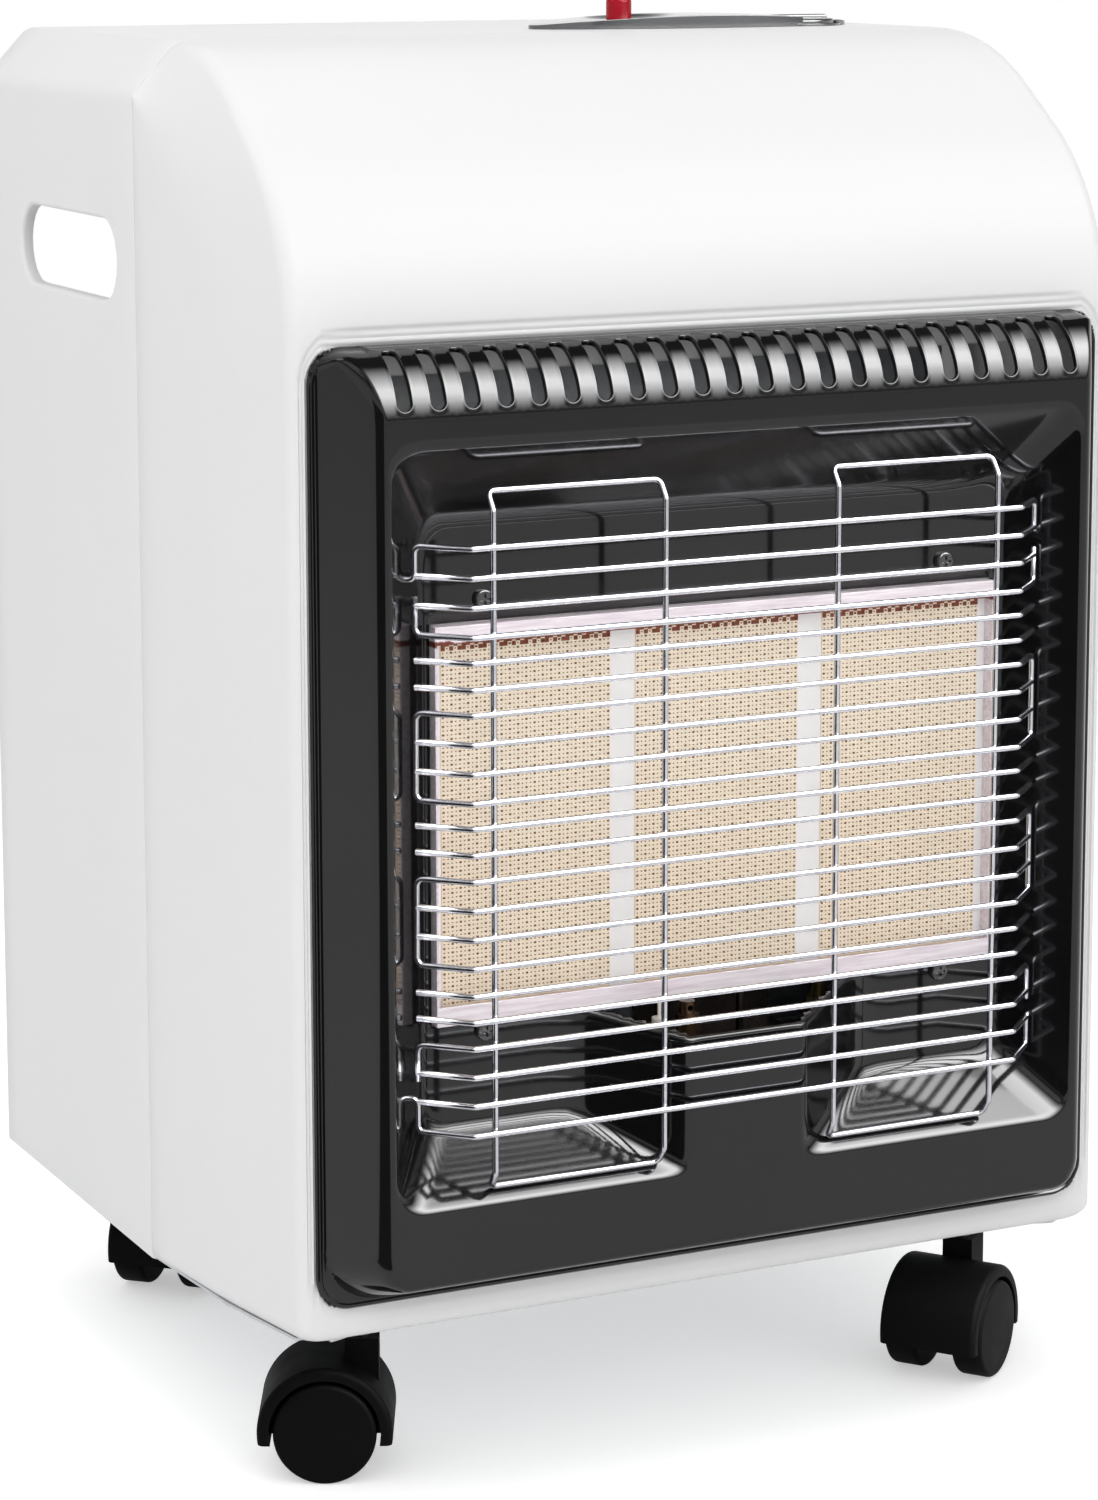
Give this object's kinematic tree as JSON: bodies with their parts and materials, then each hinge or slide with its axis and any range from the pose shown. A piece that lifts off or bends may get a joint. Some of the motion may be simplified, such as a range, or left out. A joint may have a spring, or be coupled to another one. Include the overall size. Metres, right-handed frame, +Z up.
{
  "type": "portable gas heater",
  "caption": "Upright white steel cabinet gas heater on swivel casters, with a black recessed front, ceramic plaque burner, wire guard and top controls.",
  "frame": {"origin": "on the floor under the middle of the heater's bounding box", "axes": "+Z up, -Y towards the front with the burner, +X to the right seen from the front"},
  "size_m": [0.38, 0.3352, 0.5616],
  "materials": {
    "white_enamel": "gloss white powder coat",
    "black_enamel": "gloss black vitreous enamel",
    "bright_wire": "bright zinc-plated wire",
    "stainless": "bright stainless sheet",
    "galvanised": "dull galvanised sheet",
    "ceramic": "cream perforated ceramic",
    "fibre": "white ceramic-fibre felt",
    "brass": "machined",
    "aluminium_pipe": "drawn tube",
    "dark_plastic": "satin dark grey moulding",
    "black_plastic": "matte black nylon",
    "red_plastic": "gloss red",
    "lead_insulation": "white silicone sleeve",
    "zinc_screw": "zinc-plated",
    "black_screw": "blackened",
    "insulator": "glazed ceramic"
  },
  "bodies": {
    "cabinet": {"base_plate": "galvanised", "base_screws": "zinc_screw", "burner_box_centre": "galvanised", "burner_box_left": "galvanised", "burner_box_right": "galvanised", "burner_brackets": "galvanised", "burner_frame": "stainless", "cabinet_shell": "white_enamel", "caster_sockets": "black_plastic", "caster_stems": "zinc_screw", "ceramic_plaque_centre": "ceramic", "ceramic_plaque_left": "ceramic", "ceramic_plaque_right": "ceramic", "control_plate": "dark_plastic", "front_cover": "white_enamel", "front_panel": "black_enamel", "gas_injectors": "brass", "gas_inlet_nozzle": "brass", "gas_manifold": "aluminium_pipe", "gas_valve": "brass", "guard_bars": "bright_wire", "guard_uprights": "bright_wire", "heat_shield": "galvanised", "knob_spring": "stainless", "main_gas_pipe": "aluminium_pipe", "panel_screws": "black_screw", "piezo_igniter": "black_plastic", "piezo_lead": "lead_insulation", "pilot_bracket": "stainless", "pilot_burner": "brass", "pilot_gas_pipe": "aluminium_pipe", "plaque_gasket": "fibre", "rear_cover_magnet": "black_plastic", "rear_hinge_bracket": "galvanised", "rear_hinge_pins": "zinc_screw", "spark_electrode": "insulator", "thermocouple": "stainless", "valve_bracket": "galvanised", "venturi_tubes": "galvanised"},
    "rear_cover": {"rear_cover": "white_enamel"},
    "piezo_button": {"piezo_button": "red_plastic"},
    "knob_carrier": {"spindle_collar": "zinc_screw"},
    "control_knob": {"control_knob": "dark_plastic", "valve_spindle": "zinc_screw"},
    "caster_front_left": {"caster_hood_front_left": "black_plastic", "caster_axle_front_left": "zinc_screw"},
    "wheel_inner_front_left": {"wheel_inner_front_left": "black_plastic"},
    "wheel_outer_front_left": {"wheel_outer_front_left": "black_plastic"},
    "caster_front_right": {"caster_hood_front_right": "black_plastic", "caster_axle_front_right": "zinc_screw"},
    "wheel_inner_front_right": {"wheel_inner_front_right": "black_plastic"},
    "wheel_outer_front_right": {"wheel_outer_front_right": "black_plastic"},
    "caster_rear_left": {"caster_hood_rear_left": "black_plastic", "caster_axle_rear_left": "zinc_screw"},
    "wheel_inner_rear_left": {"wheel_inner_rear_left": "black_plastic"},
    "wheel_outer_rear_left": {"wheel_outer_rear_left": "black_plastic"},
    "caster_rear_right": {"caster_hood_rear_right": "black_plastic", "caster_axle_rear_right": "zinc_screw"},
    "wheel_inner_rear_right": {"wheel_inner_rear_right": "black_plastic"},
    "wheel_outer_rear_right": {"wheel_outer_rear_right": "black_plastic"}
  },
  "joints": [
    {"name": "rear_cover_hinge", "type": "hinge", "parent": "cabinet", "child": "rear_cover", "pos_m": [-0.168, 0.1616, 0.239], "axis": [0, 0, 1], "range_deg": [0, 105]},
    {"name": "button_press", "type": "slide", "parent": "cabinet", "child": "piezo_button", "axis": [0, 0, -1], "range_m": [0, 0.005], "stiffness_N_per_m": 600, "springref_m": -0.003},
    {"name": "knob_press", "type": "slide", "parent": "cabinet", "child": "knob_carrier", "axis": [0, 0, -1], "range_m": [0, 0.003], "stiffness_N_per_m": 800, "springref_m": -0.003, "deforming": ["knob_spring"]},
    {"name": "knob_turn", "type": "hinge", "parent": "knob_carrier", "child": "control_knob", "pos_m": [0.129, 0.0396, 0.544], "axis": [0, 0, 1], "range_deg": [0, 180]},
    {"name": "swivel_front_left", "type": "hinge", "parent": "cabinet", "child": "caster_front_left", "pos_m": [-0.136, -0.1014, 0.044], "axis": [0, 0, 1], "continuous": true},
    {"name": "spin_inner_front_left", "type": "hinge", "parent": "caster_front_left", "child": "wheel_inner_front_left", "pos_m": [-0.14864, -0.09537, 0.02], "axis": [-0.4305, -0.9026, 0], "continuous": true},
    {"name": "spin_outer_front_left", "type": "hinge", "parent": "caster_front_left", "child": "wheel_outer_front_left", "pos_m": [-0.14864, -0.09537, 0.02], "axis": [-0.4305, -0.9026, 0], "continuous": true},
    {"name": "swivel_front_right", "type": "hinge", "parent": "cabinet", "child": "caster_front_right", "pos_m": [0.136, -0.1014, 0.044], "axis": [0, 0, 1], "continuous": true},
    {"name": "spin_inner_front_right", "type": "hinge", "parent": "caster_front_right", "child": "wheel_inner_front_right", "pos_m": [0.1248, -0.10981, 0.02], "axis": [0.6004, -0.7997, 0], "continuous": true},
    {"name": "spin_outer_front_right", "type": "hinge", "parent": "caster_front_right", "child": "wheel_outer_front_right", "pos_m": [0.1248, -0.10981, 0.02], "axis": [0.6004, -0.7997, 0], "continuous": true},
    {"name": "swivel_rear_left", "type": "hinge", "parent": "cabinet", "child": "caster_rear_left", "pos_m": [-0.136, 0.1216, 0.044], "axis": [0, 0, 1], "continuous": true},
    {"name": "spin_inner_rear_left", "type": "hinge", "parent": "caster_rear_left", "child": "wheel_inner_rear_left", "pos_m": [-0.12645, 0.13184, 0.02], "axis": [-0.7314, 0.682, 0], "continuous": true},
    {"name": "spin_outer_rear_left", "type": "hinge", "parent": "caster_rear_left", "child": "wheel_outer_rear_left", "pos_m": [-0.12645, 0.13184, 0.02], "axis": [-0.7314, 0.682, 0], "continuous": true},
    {"name": "swivel_rear_right", "type": "hinge", "parent": "cabinet", "child": "caster_rear_right", "pos_m": [0.136, 0.1216, 0.044], "axis": [0, 0, 1], "continuous": true},
    {"name": "spin_inner_rear_right", "type": "hinge", "parent": "caster_rear_right", "child": "wheel_inner_rear_right", "pos_m": [0.13962, 0.13512, 0.02], "axis": [-0.9659, 0.2588, 0], "continuous": true},
    {"name": "spin_outer_rear_right", "type": "hinge", "parent": "caster_rear_right", "child": "wheel_outer_rear_right", "pos_m": [0.13962, 0.13512, 0.02], "axis": [-0.9659, 0.2588, 0], "continuous": true}
  ]
}
